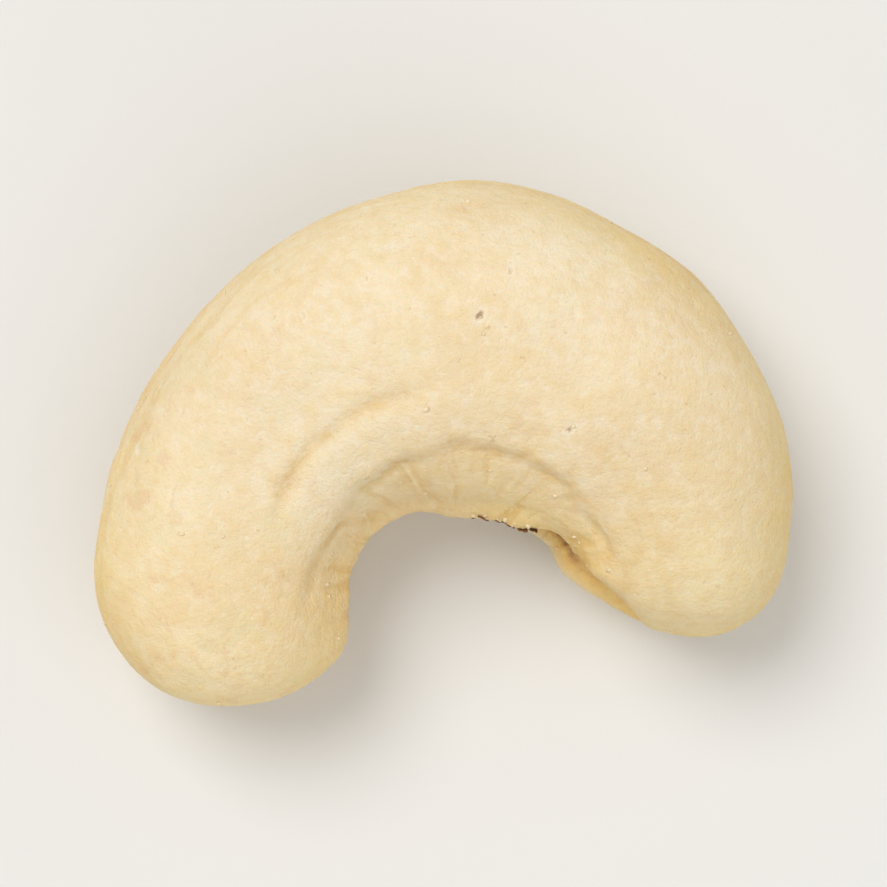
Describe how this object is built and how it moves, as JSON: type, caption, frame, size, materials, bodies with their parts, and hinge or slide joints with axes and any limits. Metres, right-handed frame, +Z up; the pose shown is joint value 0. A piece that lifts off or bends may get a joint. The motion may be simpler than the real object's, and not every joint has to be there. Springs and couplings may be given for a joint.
{
  "type": "cashew nut",
  "caption": "Whole shelled cashew kernel: a plump, creamy white kidney shape curled round an open bay, with a seam between its halves, lying on its side.",
  "frame": {"origin": "middle of the bounding box, at the surface that the kernel lies on", "axes": "+X along the kernel's length towards its short lobe, +Y towards its rounded back, so the bay opens towards -Y, and +Z up, through the thickness of the two halves"},
  "size_m": [0.028, 0.021, 0.0115],
  "materials": {
    "kernel_cream": "satin"
  },
  "bodies": {
    "root": {"cashew_kernel": "kernel_cream"}
  },
  "joints": []
}
